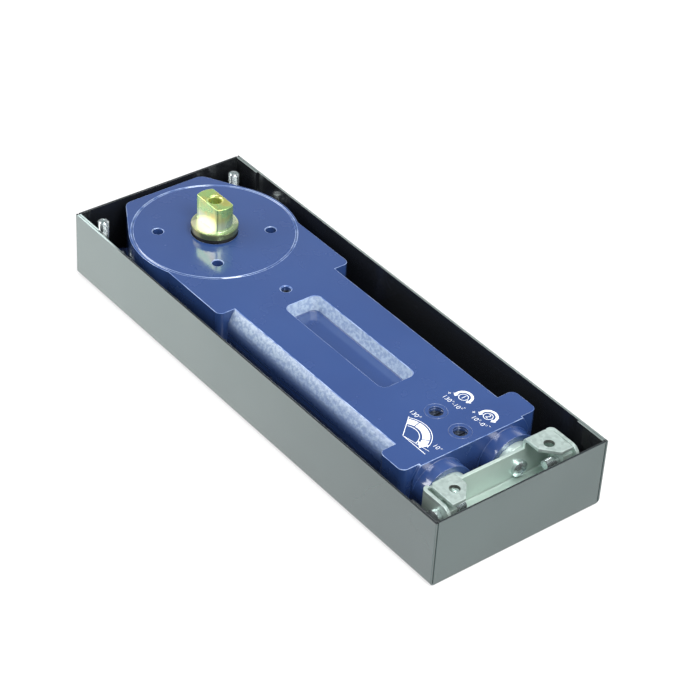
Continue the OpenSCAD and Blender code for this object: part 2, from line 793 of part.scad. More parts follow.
module fill_plug() {
    z1 = casting_z1 - fill_recess;
    color([0.62, 0.63, 0.65]) difference() {
        rod_z([spindle_x + fill_x, 0, z1 - fill_plug_l], fill_r - run / 2, fill_plug_l);
        translate([spindle_x + fill_x, 0, z1 - fill_plug_l / 3])
            cylinder(h = fill_plug_l, r = fill_r * 0.55, $fn = 6);
    }
}

module valve_collars() {
    color([0.25, 0.35, 0.58])
        for (x = [sweep_x, latch_x])
            difference() {
                rod_z([x, 0, casting_z1 - valve_collar_t], valve_collar_r - run, valve_collar_t);
                rod_z([x, 0, 0], valve_bore_r + run, casting_z1 + 1);
            }
}

// The throttle screw: slotted top, groove for its ring, and a needle in the seat
module valve_screw(x) {
    body_r = valve_bore_r - run;
    groove_h = valve_seal_d + 2 * face_gap;
    color([0.66, 0.68, 0.70]) translate([x, 0, 0]) difference() {
        union() {
            rod_z([0, 0, valve_z0], body_r, valve_l);
            rod_z([0, 0, cyl_z - passage_r / 2], valve_needle_r, valve_z0 - cyl_z + passage_r);
        }
        translate([0, 0, valve_z1]) cube([0.9, 2 * body_r + 1, 3], center = true);
        translate([0, 0, valve_seal_z - groove_h / 2]) difference() {
            cylinder(h = groove_h, r = body_r + 1);
            translate([0, 0, -eps]) cylinder(h = groove_h + 2 * eps, r = body_r - valve_seal_d);
        }
    }
}

module valve_seal(x) {
    color([0.07, 0.07, 0.07]) translate([x, 0, valve_seal_z])
        o_ring(valve_bore_r - run - valve_seal_d / 2 + 0.04, valve_seal_d - 0.04);
}

module sweep_valve_screw() { valve_screw(sweep_x); }
module latch_valve_screw() { valve_screw(latch_x); }
module sweep_valve_seal() { valve_seal(sweep_x); }
module latch_valve_seal() { valve_seal(latch_x); }

// Side view of the web and one of its bent legs, turned so that the sheet runs along Y
module sheet_along_y(y0, y1) {
    translate([0, y1, 0]) rotate([90, 0, 0]) linear_extrude(y1 - y0) children();
}

module cover_tab_plan() {
    polygon([
        [web_x0, tab_in],
        [web_x0 + tab_side, tab_in],
        [web_x0 + tab_l, tab_out - tab_tip],
        [web_x0 + tab_l, tab_out],
        [web_x0 + 4, tab_out],
        [web_x0, tab_out - 3.3],
    ]);
}

module bracket_half() {
    t = bracket_t;
    r = bracket_bend_r;
    // Web and foot
    sheet_along_y(0, wing_y - t - r)
        translate([web_x0, foot_z]) bent_sheet(web_z - foot_z, foot_l, t, r);
    // Web behind the tab, and the tab bent over from its top
    slab(web_z - t, casting_z1 - r - t) translate([web_x0, tab_in]) square([t, wing_y - t - r - tab_in]);
    intersection() {
        sheet_along_y(tab_in, tab_out)
            translate([web_x0, casting_z1]) mirror([0, 1]) bent_sheet(casting_z1 - web_z, tab_l, t, r);
        slab(web_z, casting_z1) cover_tab_plan();
    }
    // Side wing, bent forward from the web's end
    difference() {
        slab(foot_z + t, wing_z)
            translate([web_x0, wing_y]) mirror([0, 1]) bent_sheet(t + 2 * r, foot_l, t, r);
        rod_y([side_x, 0, side_screw_z], screw_r + bolt_gap, wing_y + 1);
        translate([web_x0 + foot_l - wing_corner_r, 0, wing_z - wing_corner_r]) difference() {
            cube([2 * wing_corner_r, wing_y + 1, 2 * wing_corner_r]);
            rotate([-90, 0, 0]) translate([0, 0, -1]) cylinder(h = wing_y + 3, r = wing_corner_r);
        }
    }
}

module adjusting_bracket() {
    color([0.74, 0.78, 0.76]) difference() {
        for (s = sides)
            on_side(s) bracket_half();
        for (s = sides) {
            rod_x([web_x0 - 1, s * bracket_screw_y, bracket_screw_z], screw_r + bolt_gap, bracket_t + 2);
            rod_z([web_x0 + cover_hole_x, s * cover_hole_y, web_z], cover_hole_r, casting_z1);
            translate([web_x0 + cover_hole_x, s * cover_hole_y, casting_z1 - 0.3])
                cylinder(h = 0.3 + eps, r1 = cover_hole_r, r2 = cover_hole_r + 0.3);
        }
    }
}

// A pan head on its shank, along Z with the head's seat at the origin and a cross recess
module pan_screw(shank_l) {
    difference() {
        union() {
            translate([0, 0, -shank_l]) cylinder(h = shank_l + eps, r = screw_r);
            intersection() {
                cylinder(h = screw_head_h, r = screw_head_r);
                translate([0, 0, screw_head_h - 1.6 * screw_head_r]) sphere(1.6 * screw_head_r);
            }
        }
        for (a = [0, 90])
            rotate([0, 0, a]) translate([0, 0, screw_head_h])
                cube([0.28 * screw_head_r, 1.1 * screw_head_r, 0.9 * screw_head_h], center = true);
    }
}

module bracket_screws() {
    color([0.78, 0.82, 0.86])
        for (s = sides)
            translate([web_x1, s * bracket_screw_y, bracket_screw_z]) rotate([0, 90, 0])
                pan_screw(bracket_screw_l + bracket_t);
}

module threaded_blocks() {
    color([0.66, 0.69, 0.68])
        for (s = sides)
            on_side(s) difference() {
                translate([side_x - block_l / 2, wing_in - block_w, side_screw_z - block_h / 2])
                    cube([block_l, block_w, block_h]);
                rod_y([side_x, 0, side_screw_z], screw_r + run, wing_y);
            }
}

module side_screw(s) {
    color([0.76, 0.80, 0.82]) on_side(s)
        translate([side_x, head_y, side_screw_z]) rotate([-90, 0, 0]) pan_screw(side_screw_l);
}

module side_washer(s) {
    color([0.70, 0.72, 0.74]) on_side(s) difference() {
        rod_y([side_x, wing_y + face_gap, side_screw_z], screw_head_r - 0.2, washer_t);
        rod_y([side_x, wing_y, side_screw_z], screw_r + run, washer_t + 1);
    }
}

module near_side_screw() { side_screw(near); }
module far_side_screw() { side_screw(far); }
module near_side_washer() { side_washer(near); }
module far_side_washer() { side_washer(far); }

// A stud with a chamfered top, slotted at an angle from the long axis
module slotted_stud(x, y, z0, z1, slot_angle) {
    tip = 0.5;
    color([0.80, 0.81, 0.78]) translate([x, y, 0]) difference() {
        union() {
            rod_z([0, 0, z0], stud_r, z1 - z0 - tip);
            translate([0, 0, z1 - tip]) cylinder(h = tip, r1 = stud_r, r2 = stud_r - tip);
        }
        translate([0, 0, z1]) rotate([0, 0, slot_angle]) cube([3 * stud_r, 1, 3], center = true);
    }
}

module level_screw(s) {
    slotted_stud(spindle_x - level_x, s * level_y, box_t + face_gap, level_z1, s < 0 ? -48 : 55);
}

module near_level_screw() { level_screw(near); }
module far_level_screw() { level_screw(far); }

module clamp_studs() {
    for (s = sides)
        slotted_stud(spindle_x - clamp_x, s * clamp_y, box_t, clamp_z1, -61);
}

module clamp_nuts() {
    color([0.72, 0.73, 0.72])
        for (s = sides)
            translate([spindle_x - clamp_x, s * clamp_y, lug_z1 + face_gap]) difference() {
                rotate([0, 0, 30]) cylinder(h = nut_h, d = nut_w / cos(30), $fn = 6);
                translate([0, 0, -1]) cylinder(h = nut_h + 2, r = stud_r + run);
            }
}

module pinion_plan() {
    circle(root_r);
    for (i = [0:pinion_teeth - 1])
        rotate(90 + 360 * i / pinion_teeth) polygon(tooth);
}

module spindle() {
    foot_z0 = casting_z0 + 1.5 + face_gap;
    color([0.80, 0.80, 0.45]) translate([spindle_x, 0, 0]) difference() {
        union() {
            rod_z([0, 0, foot_z0], lower_journal_r, gear_z0 - foot_z0);
            rod_z([0, 0, chamber_z0 + face_gap], disc_r, gear_z0 - chamber_z0 - face_gap);
            slab(gear_z0 - eps, gear_z1 + eps) pinion_plan();
            rod_z([0, 0, gear_z1], disc_r, bearing_z0 - gear_z1);
            rod_z([0, 0, bearing_z0], upper_journal_r, upper_bearing_h);
            rod_z([0, 0, bearing_z0], neck_r, collar_z1 - bearing_z0);
            rod_z([0, 0, collar_z0], collar_r, collar_h - 0.5);
            translate([0, 0, collar_z1 - 0.5])
                cylinder(h = 0.5, r1 = collar_r, r2 = collar_r - 0.5);
            intersection() {
                rod_z([0, 0, collar_z1 - eps], drive_r, spindle_z1 - collar_z1 + eps);
                translate([-2 * drive_r, -drive_w / 2, 0]) cube([4 * drive_r, drive_w, spindle_z1]);
            }
        }
        rod_z([0, 0, spindle_z1 - top_hole_d], top_hole_r, top_hole_d + 1);
        translate([0, 0, spindle_z1 - top_hole_chamfer])
            cylinder(h = top_hole_chamfer + eps, r1 = top_hole_r, r2 = top_hole_r + top_hole_chamfer);
    }
}

// Plan outline of a rack whose teeth point at the long axis, for the far side
module rack_plan() {
    foot_y = pitch_r + dedendum * gear_module;
    tip_y = pitch_r - addendum * gear_module;
    translate([-rack_half, foot_y]) square([2 * rack_half, rack_back - foot_y]);
    for (i = [0:rack_teeth - 1])
        translate([(i - (rack_teeth - 1) / 2) * pitch, 0])
            polygon([
                [-rack_foot_half, foot_y + 0.5],
                [-rack_foot_half, foot_y],
                [-rack_tip_half, tip_y],
                [rack_tip_half, tip_y],
                [rack_foot_half, foot_y],
                [rack_foot_half, foot_y + 0.5],
            ]);
}

// A piston with its rack, its seal's groove and the seat of its check ball
module rack_piston(s) {
    seal_x = piston_x0 + piston_l * 0.45;
    color([0.62, 0.64, 0.67]) on_side(s) difference() {
        union() {
            slab(gear_z0 + face_gap, gear_z1 - face_gap) translate([spindle_x, 0]) rack_plan();
            slab(cyl_z - link_h / 2, cyl_z + link_h / 2)
                translate([spindle_x + rack_half - 4, link_in])
                    square([piston_x - rack_half + 5, link_out - link_in]);
            rod_x([piston_x0, cyl_y, cyl_z], cyl_r - piston_gap, piston_l);
        }
        translate([seal_x, cyl_y, cyl_z]) rotate([0, 90, 0]) difference() {
            cylinder(h = piston_seal_l, r = cyl_r + 1);
            translate([0, 0, -eps]) cylinder(h = piston_seal_l + 2 * eps, r = cyl_r - 2);
        }
        rod_x([piston_x0 - 1, cyl_y, cyl_z], check_r * 0.75, piston_l + 2);
        rod_x([piston_x1 - 2.2 * check_r, cyl_y, cyl_z], check_r + 0.3, 3 * check_r);
    }
}

module piston_seal(s) {
    seal_x = piston_x0 + piston_l * 0.45;
    color([0.10, 0.10, 0.11]) on_side(s) translate([seal_x, cyl_y, cyl_z]) rotate([0, 90, 0])
        translate([0, 0, face_gap / 2]) difference() {
            cylinder(h = piston_seal_l - face_gap, r = cyl_r - 0.03);
            translate([0, 0, -1]) cylinder(h = piston_seal_l + 2, r = cyl_r - 2 + run);
        }
}

module check_ball(s) {
    seat = sqrt(1 - 0.75 * 0.75) * check_r + face_gap / 2;
    color([0.85, 0.86, 0.88])
        translate([piston_x1 - 2.2 * check_r + seat, s * cyl_y, cyl_z]) sphere(check_r, $fn = 32);
}

module near_rack_piston() { rack_piston(near); }
module far_rack_piston() { rack_piston(far); }
module near_piston_seal() { piston_seal(near); }
module far_piston_seal() { piston_seal(far); }
module near_check_ball() { check_ball(near); }
module far_check_ball() { check_ball(far); }

cement_box();
clamp_studs();
clamp_nuts();
body_casting();
bearing_cover();
cover_seal();
spindle_wiper();
upper_bearing_outer();
upper_bearing_balls();
lower_bearing();
near_plug();
far_plug();
near_plug_seal();
far_plug_seal();
near_spring();
far_spring();
fill_plug();
valve_collars();
adjusting_bracket();
bracket_screws();
threaded_blocks();
spindle();
upper_bearing_inner();
near_rack_piston();
near_piston_seal();
near_check_ball();
far_rack_piston();
far_piston_seal();
far_check_ball();
sweep_valve_seal();
sweep_valve_screw();
latch_valve_seal();
latch_valve_screw();
near_side_washer();
near_side_screw();
far_side_washer();
far_side_screw();
near_level_screw();
far_level_screw();
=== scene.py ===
import json
import math
import bmesh
import bpy
from mathutils import Matrix, Vector


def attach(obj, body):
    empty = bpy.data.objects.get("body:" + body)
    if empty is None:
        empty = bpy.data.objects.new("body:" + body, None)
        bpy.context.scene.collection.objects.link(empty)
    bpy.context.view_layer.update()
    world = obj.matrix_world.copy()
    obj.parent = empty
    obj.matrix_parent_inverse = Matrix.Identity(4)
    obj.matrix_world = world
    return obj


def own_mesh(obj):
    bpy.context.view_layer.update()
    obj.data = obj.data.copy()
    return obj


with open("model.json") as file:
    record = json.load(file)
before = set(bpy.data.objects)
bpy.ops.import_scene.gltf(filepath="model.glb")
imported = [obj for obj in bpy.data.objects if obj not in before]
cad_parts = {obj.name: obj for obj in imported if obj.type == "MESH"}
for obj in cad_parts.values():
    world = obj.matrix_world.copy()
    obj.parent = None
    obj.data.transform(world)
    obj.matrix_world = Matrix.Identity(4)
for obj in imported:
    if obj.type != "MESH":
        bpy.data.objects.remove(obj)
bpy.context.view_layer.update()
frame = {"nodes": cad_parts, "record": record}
print("frame loaded:", len(frame["nodes"]), "nodes")
mm = 0.001


# the photograph's camera: where it stands, how it is turned, and its lens in mm
shot = {
    "place": (0.744, -0.610, 0.746),
    "forward": (-0.6111, 0.5144, -0.6016),
    "up": (-0.5016, 0.3363, 0.7971),
    "lens": 120.2,
    "sensor": 36,
}


def placeCamera():
    forward = Vector(shot["forward"]).normalized()
    right = forward.cross(Vector(shot["up"])).normalized()
    up = right.cross(forward)
    data = bpy.data.cameras.new("photoCamera")
    data.lens = shot["lens"]
    data.sensor_width = shot["sensor"]
    camera = bpy.data.objects.new("photoCamera", data)
    bpy.context.scene.collection.objects.link(camera)
    turn = Matrix((right, up, -forward)).transposed().to_4x4()
    camera.matrix_world = Matrix.Translation(shot["place"]) @ turn
    bpy.context.scene.camera = camera
    bpy.context.scene.view_settings.view_transform = "Standard"


# each lamp: where it hangs, what it faces, its size and its power
lamps = {
    "leftBox": {"place": (-0.75, -0.75, 0.62), "aim": (0, 0, 0.02), "size": (0.9, 0.5), "power": 7},
    "overheadBox": {"place": (0.1, 0.1, 1.3), "aim": (0, 0, 0), "size": (1.1, 1.1), "power": 9},
    "rightBox": {"place": (1.1, 0.5, 0.5), "aim": (0.05, 0, 0.02), "size": (0.5, 0.5), "power": 3},
    "frontBox": {"place": (0.75, -0.1, 0.9), "aim": (0.12, 0, 0.02), "size": (0.4, 0.5), "power": 7},
}


def hangLamps():
    for name, lamp in lamps.items():
        data = bpy.data.lights.new(name, "AREA")
        data.shape = "RECTANGLE"
        data.size, data.size_y = lamp["size"]
        data.energy = lamp["power"]
        thing = bpy.data.objects.new(name, data)
        bpy.context.scene.collection.objects.link(thing)
        away = Vector(lamp["aim"]) - Vector(lamp["place"])
        turn = away.to_track_quat("-Z", "Y").to_matrix().to_4x4()
        thing.matrix_world = Matrix.Translation(lamp["place"]) @ turn


# a socket that can be used in plain sums
class Signal:
    def __init__(self, finish, socket):
        self.finish = finish
        self.socket = socket

    def sum(self, operation, *values):
        settings = {"operation": operation}
        return self.finish.node("Math", settings, dict(enumerate(values)))

    def __add__(self, other):
        return self.sum("ADD", self, other)

    def __sub__(self, other):
        return self.sum("SUBTRACT", self, other)

    def __mul__(self, other):
        return self.sum("MULTIPLY", self, other)

    def __rsub__(self, other):
        return self.sum("SUBTRACT", other, self)

    def __abs__(self):
        return self.sum("ABSOLUTE", self)

    __radd__ = __add__

    def most(self, other):
        return self.sum("MAXIMUM", self, other)

    # 0 below the first limit, 1 above the second
    def between(self, low, high):
        settings = {"interpolation_type": "SMOOTHSTEP"}
        values = {"Value": self, "From Min": low, "From Max": high}
        return self.finish.node("MapRange", settings, values)


# a material and the nodes that make it up
class Finish:
    def __init__(self, name, tree=None):
        self.tree = tree
        if tree is None:
            self.material = bpy.data.materials.new(name)
            self.material.use_nodes = True
            self.tree = self.material.node_tree
            self.shader = self.tree.nodes["Principled BSDF"]
            place = self.node("TexCoord", output="Object")
            self.place = place
            self.x = self.node("SeparateXYZ", {}, {0: place}, "X")
            self.y = self.node("SeparateXYZ", {}, {0: place}, "Y")
            self.z = self.node("SeparateXYZ", {}, {0: place}, "Z")

    def node(self, kind, settings=None, values=None, output=0):
        made = self.tree.nodes.new("ShaderNode" + kind)
        for key, value in (settings or {}).items():
            if key == "stops":
                self.setStops(made.color_ramp, value)
            else:
                setattr(made, key, value)
        self.fill(made, values or {})
        return Signal(self, made.outputs[output])

    def fill(self, made, values):
        for key, value in values.items():
            if isinstance(value, Signal):
                self.tree.links.new(value.socket, made.inputs[key])
            elif isinstance(value, tuple) and len(value) == 3 and made.inputs[key].type == "RGBA":
                made.inputs[key].default_value = (*value, 1)
            else:
                made.inputs[key].default_value = value

    def setStops(self, ramp, stops):
        while len(ramp.elements) < len(stops):
            ramp.elements.new(1)
        for element, (spot, colour) in zip(ramp.elements, stops):
            element.position = spot
            element.color = (*colour, 1)

    # noise whose lumps are about one grain across, in metres
    def noise(self, grain, detail=2, rough=0.5):
        values = {"Vector": self.place, "Scale": 0.5 / grain, "Detail": detail, "Roughness": rough}
        return self.node("TexNoise", {}, values, "Fac")

    # a different colour for each cell of about one grain
    def cells(self, grain):
        values = {"Vector": self.place, "Scale": 1 / grain}
        return self.node("TexVoronoi", {}, values, "Color")

    def mix(self, factor, low, high):
        made = self.tree.nodes.new("ShaderNodeMix")
        made.data_type = "RGBA"
        colourInputs = [i for i in made.inputs if i.type == "RGBA"]
        self.fill(made, {0: factor})
        for socket, value in zip(colourInputs, (low, high)):
            if isinstance(value, Signal):
                self.tree.links.new(value.socket, socket)
            else:
                socket.default_value = (*value, 1)
        return Signal(self, [o for o in made.outputs if o.type == "RGBA"][0])

    def bump(self, height, depth, strength=1.0, over=None):
        values = {"Height": height, "Distance": depth, "Strength": strength}
        if over is not None:
            values["Normal"] = over
        return self.node("Bump", {}, values, "Normal")

    def set(self, **sockets):
        names = {"baseColor": "Base Color", "coat": "Coat Weight", "coatRoughness": "Coat Roughness",
                 "coatIor": "Coat IOR", "specular": "Specular IOR Level"}
        values = {names.get(k, k.capitalize()): v for k, v in sockets.items()}
        self.fill(self.shader, values)
        return self


# a colour as it reads on a screen, 0 to 255, turned into light
def screen(red, green, blue):
    def light(value):
        value = value / 255
        if value < 0.04045:
            return value / 12.92
        return ((value + 0.055) / 1.055) ** 2.4
    return (light(red), light(green), light(blue))


# a pale room round the object, as light, as reflection and as a white background
room = {
    "rays": ("Is Camera Ray", "Is Glossy Ray", "Is Transmission Ray"),
    "skyForLight": 0.82,
    "glossFade": (0.3, 0.62),
    "zenithInGloss": (0.10, 0.11, 0.13),
    "horizonInGloss": (1.0, 1.0, 1.0),
    "floorColour": (0.86, 0.86, 0.86),
    "floorGlow": 0.62,
    "floorRoughness": 0.9,
    "floorSize": 6,
    "floorHeight": -0.2 * mm,
}


def makeRoom():
    world = bpy.data.worlds.new("paleRoom")
    bpy.context.scene.world = world
    world.use_nodes = True
    sky = Finish("paleRoom", world.node_tree)
    background = world.node_tree.nodes["Background"]
    camera, glossy, through = [sky.node("LightPath", output=k) for k in room["rays"]]
    way = sky.node("TexCoord", output="Generated")
    height = sky.node("SeparateXYZ", {}, {0: way}, "Z")
    gloss = sky.mix(height.between(*room["glossFade"]), room["horizonInGloss"], room["zenithInGloss"])
    lit = room["skyForLight"]
    seen = sky.mix(glossy, (lit, lit, lit), gloss)
    white = camera.most(through)
    sky.fill(background, {"Color": sky.mix(white, seen, (1.0, 1.0, 1.0)), "Strength": 1.0})

    data = bpy.data.meshes.new("paleFloor")
    shape = bmesh.new()
    bmesh.ops.create_grid(shape, x_segments=1, y_segments=1, size=room["floorSize"])
    shape.to_mesh(data)
    shape.free()
    floor = bpy.data.objects.new("paleFloor", data)
    bpy.context.scene.collection.objects.link(floor)
    floor.location.z = room["floorHeight"]
    pale = Finish("paleFloor")
    pale.set(baseColor=room["floorColour"], roughness=room["floorRoughness"], specular=0.0)
    camera, glossy, through = [pale.node("LightPath", output=k) for k in room["rays"]]
    seen = (camera * room["floorGlow"]).most(glossy).most(through)
    glow = pale.node("Emission", {}, {"Color": (1.0, 1.0, 1.0), "Strength": 1.0})
    plain = Signal(pale, pale.shader.outputs[0])
    both = pale.node("MixShader", {}, {0: seen, 1: plain, 2: glow})
    out = pale.tree.nodes["Material Output"]
    pale.tree.links.new(both.socket, out.inputs["Surface"])
    data.materials.append(pale.material)


# black gloss paint on sheet steel; its outer faces and rim are painted with the studio's reflection
boxPaint = {
    "inside": screen(27, 29, 32),
    "outsideSpindleEnd": screen(102, 117, 115),
    "outsideValveEnd": screen(48, 66, 67),
    "outsideEnd": screen(34, 58, 57),
    "rimFar": screen(104, 116, 114),
    "rimNear": screen(34, 40, 42),
    "rimPale": screen(176, 194, 192),
    "cloud": screen(150, 160, 158),
    "dust": screen(60, 66, 68),
    "length": (-150 * mm, 150 * mm),
    "longWall": (53.6 * mm, 53.7 * mm),
    "endWall": (152.6 * mm, 152.7 * mm),
    "rimHeight": (38.8 * mm, 38.9 * mm),
    "rimOfEnds": (151.2 * mm, 151.5 * mm),
    "rimFarSide": (-1 * mm, 1 * mm),
    "rimPaleEnd": (-128 * mm, -105 * mm),
}


def makeBoxPaint():
    paint = Finish("boxPaint")
    along = paint.x.between(*boxPaint["length"])
    outer = paint.mix(along, boxPaint["outsideSpindleEnd"], boxPaint["outsideValveEnd"])
    cloud = paint.noise(0.06, 3)
    sides = abs(paint.y).between(*boxPaint["longWall"])
    ends = abs(paint.x).between(*boxPaint["endWall"])
    outside = sides.most(ends)
    outer = paint.mix(ends, outer, boxPaint["outsideEnd"])
    outer = paint.mix(cloud.between(0.35, 0.7) * 0.08, outer, boxPaint["cloud"])
    dust = paint.noise(0.0006, 2).between(0.7, 0.78) * 0.1
    inner = paint.mix(dust, boxPaint["inside"], boxPaint["dust"])
    rim = paint.z.between(*boxPaint["rimHeight"])
    onEnd = abs(paint.x).between(*boxPaint["rimOfEnds"])
    farSide = paint.y.between(*boxPaint["rimFarSide"]) * (1 - onEnd)
    glintStart = (1 - paint.x.between(*boxPaint["rimPaleEnd"])) * (1 - farSide) * (1 - onEnd)
    rimColour = paint.mix(farSide, boxPaint["rimNear"], boxPaint["rimFar"])
    rimColour = paint.mix(glintStart, rimColour, boxPaint["rimPale"])
    ripple = paint.noise(0.004, 2)
    colour = paint.mix(rim, paint.mix(outside, inner, outer), rimColour)
    paint.set(baseColor=colour, roughness=0.16 + cloud * 0.1,
              coat=1.0, coatRoughness=0.06, coatIor=1.55,
              normal=paint.bump(ripple, 0.05 * mm, 0.35))
    return paint.material


# blue gloss enamel over machined faces and over raw cast ones; the raw cast faces are paler, partly their
# own rough tone and partly a painted highlight, and faces low in the box carry a painted shade
enamel = {
    "colour": screen(47, 73, 126),
    "shade": screen(40, 64, 116),
    # painted shade for the faces low in the box
    "paintedShade": screen(31, 38, 68),
    "castToneAndSheen": screen(88, 112, 162),
    "castHighlight": screen(172, 190, 210),
    "soft": 0.2 * mm,
    "lump": 1 * mm,
    "litCrests": (0.4, 0.62),
    "flankEdge": 32.4 * mm,
    "flankFoot": 29.8 * mm,
    "footWander": 3 * mm,
    "flankFade": (-6 * mm, 1 * mm),
    "highlightRise": (27.5 * mm, 35 * mm),
    "highlightFade": (-40 * mm, 110 * mm),
    "shadeFade": (12 * mm, 34 * mm),
    "flankStart": -35.9 * mm,
    "flankEnd": 96.0 * mm,
    "pocketSide": 11.0 * mm,
    "pocketStart": -23.2 * mm,
    "pocketEnd": 59.2 * mm,
    "pocketFloor": (30.1 * mm, 30.9 * mm),
    "pocketTop": (37.6 * mm, 37.9 * mm),
}


def makeEnamel(name, cast):
    paint = Finish(name)
    mottle = paint.noise(0.03, 3).between(0.3, 0.7)
    colour = paint.mix(mottle * 0.6, enamel["colour"], enamel["shade"])
    rough = 0.2 + paint.noise(0.008, 3) * 0.12
    skin = paint.noise(0.0011, 2)
    normal = paint.bump(skin, 0.02 * mm, 0.25)
    if cast:
        side = abs(paint.y)
        soft = enamel["soft"]
        lumps = paint.noise(enamel["lump"], 3, 0.6)
        foot = enamel["flankFoot"] + (lumps - 0.5) * enamel["footWander"]
        wall = side.between(enamel["flankEdge"], enamel["flankEdge"] + soft)
        wall = wall * paint.x.between(enamel["flankStart"], enamel["flankStart"] + soft)
        wall = wall * (1 - paint.x.between(enamel["flankEnd"], enamel["flankEnd"] + soft))
        flank = wall * (paint.z - foot).between(*enamel["flankFade"])
        pocket = 1 - side.between(enamel["pocketSide"], enamel["pocketSide"] + soft)
        pocket = pocket * (1 - paint.z.between(*enamel["pocketTop"]))
        pocket = pocket * paint.z.between(*enamel["pocketFloor"])
        pocket = pocket * paint.x.between(enamel["pocketStart"], enamel["pocketStart"] + soft)
        pocket = pocket * (1 - paint.x.between(enamel["pocketEnd"], enamel["pocketEnd"] + soft))
        raw = flank.most(pocket)
        # painted highlight: the raw cast faces are paled, most on lump crests, on the upper flanks and in
        # the pocket, fading along the casting
        litCrests = lumps.between(*enamel["litCrests"])
        far = paint.x.between(*enamel["highlightFade"]) * 0.3 * (1 - pocket)
        pale = paint.mix(far, enamel["castHighlight"], enamel["castToneAndSheen"])
        highlightHeight = paint.z.between(*enamel["highlightRise"]).most(pocket)
        castWithHighlight = paint.mix((litCrests * 0.5 + 0.5) * highlightHeight, enamel["castToneAndSheen"], pale)
        # painted shade: the enamel darkens towards the bottom of the box, less so on the flank walls
        depth = (1 - paint.z.between(*enamel["shadeFade"])) * (1 - wall * 0.65)
        colour = paint.mix(depth * 0.85, colour, enamel["paintedShade"])
        colour = paint.mix(raw, colour, castWithHighlight)
        normal = paint.bump(lumps, 0.45 * mm, raw * 0.8, normal)
        rough = rough + raw * 0.2
    paint.set(baseColor=colour, roughness=rough, coat=1.0, coatRoughness=0.1, coatIor=1.8, normal=normal)
    return paint.material


# the casting's broken top edges, where iron shows through the enamel, but not round the valves
bareIron = {
    "dark": screen(86, 114, 170),
    "light": screen(168, 188, 224),
    "top": (36.6 * mm, 37.4 * mm),
    "valvesStart": (78 * mm, 79 * mm),
    "valvesEnd": (114 * mm, 115 * mm),
    "valvesSide": (8 * mm, 9 * mm),
}


def makeBareEdge():
    bare = Finish("bareEdge")
    worn = bare.noise(0.003, 3).between(0.35, 0.62)
    atValves = bare.x.between(*bareIron["valvesStart"]) * (1 - bare.x.between(*bareIron["valvesEnd"]))
    atValves = atValves * (1 - abs(bare.y).between(*bareIron["valvesSide"]))
    top = bare.z.between(*bareIron["top"]) * (1 - atValves * 0.8)
    iron = bare.mix(worn, bareIron["dark"], bareIron["light"])
    bare.set(baseColor=bare.mix(top, enamel["colour"], iron),
             roughness=0.3 + worn * 0.1, metallic=top * (0.2 + worn * 0.3),
             coat=1 - top, coatRoughness=0.1, coatIor=1.8)
    return bare.material


# where zinc plate is scuffed or carries painted light and shade: painted shade on the sunk heads, the level
# screws and the tab holes, a lighter painted-lit bracket web with painted shade beside a bright streak, and
# scuffs low on the bracket
zincMarks = {
    # painted shade for the heads sunk in the casting's holes
    "sunk": screen(44, 58, 84),
    "sunkSide": (12 * mm, 13 * mm),
    "sunkTop": (37 * mm, 38 * mm),
    "sunkEnd": (112 * mm, 114 * mm),
    # painted shade that darkens the level screws low in the box
    "dull": screen(44, 46, 46),
    "screwShadeEnd": (-136 * mm, -134 * mm),
    "screwShadeTop": (25 * mm, 31 * mm),
    "webShade": screen(132, 158, 158),
    "webTop": (34 * mm, 35 * mm),
    "streakStart": (-26 * mm, -8 * mm),
    "streakEnd": (-8 * mm, 22 * mm),
    "hole": screen(74, 72, 66),
    "holeX": 137.3 * mm,
    "holeY": 29.7 * mm,
    "holeEdge": (2.7 * mm, 2.9 * mm),
    "scuff": screen(128, 98, 66),
    "scuffTop": (5 * mm, 8 * mm),
}


# zinc plate: pale and faintly spangled, with a small change of tone from grain to grain
def makeZinc(name, low, high, grain, metal=1.0, rough=0.3, litWeb=None):
    zinc = Finish(name)
    spangle = zinc.cells(grain)
    tone = zinc.node("SeparateColor", {}, {0: spangle}, 0)
    cloud = zinc.noise(grain * 4, 3)
    colour = zinc.mix(tone * 0.55 + cloud * 0.45, low, high)
    marks = zincMarks
    # painted shade: the heads that sit deep in the casting's holes are darkened
    sunk = (1 - abs(zinc.y).between(*marks["sunkSide"])) * (1 - zinc.z.between(*marks["sunkTop"]))
    sunk = sunk * (1 - zinc.x.between(*marks["sunkEnd"]))
    colour = zinc.mix(sunk * 0.85, colour, marks["sunk"])
    # painted shade: the level screws are darkened below their bright tips, deep in the box
    dull = (1 - zinc.x.between(*marks["screwShadeEnd"])) * (1 - zinc.z.between(*marks["screwShadeTop"]))
    colour = zinc.mix(dull * 0.9, colour, marks["dull"])
    if litWeb:
        web = 1 - zinc.z.between(*marks["webTop"])
        streak = zinc.y.between(*marks["streakStart"]) * (1 - zinc.y.between(*marks["streakEnd"]))
        across = abs(zinc.y) - marks["holeY"]
        along = zinc.x - marks["holeX"]
        reach = across * across + along * along
        inner, outer = marks["holeEdge"]
        hole = (1 - reach.between(inner ** 2, outer ** 2)) * (1 - web)
        # painted light: the bracket web gets a lighter colour, and further down painted shade darkens it
        # outside a bright streak
        colour = zinc.mix(web * 0.8, colour, litWeb)
        scuff = zinc.noise(0.0022, 3).between(0.56, 0.66) * (1 - zinc.z.between(*marks["scuffTop"]))
        colour = zinc.mix(scuff * 0.55, colour, marks["scuff"])
        colour = zinc.mix(hole * 0.85, colour, marks["hole"])
        colour = zinc.mix(web * (1 - streak) * 0.2, colour, marks["webShade"])
    scratch = zinc.noise(grain * 0.25, 2)
    zinc.set(baseColor=colour, metallic=metal, roughness=rough + tone * 0.12,
             normal=zinc.bump(scratch, 0.03 * mm, 0.3))
    return zinc.material


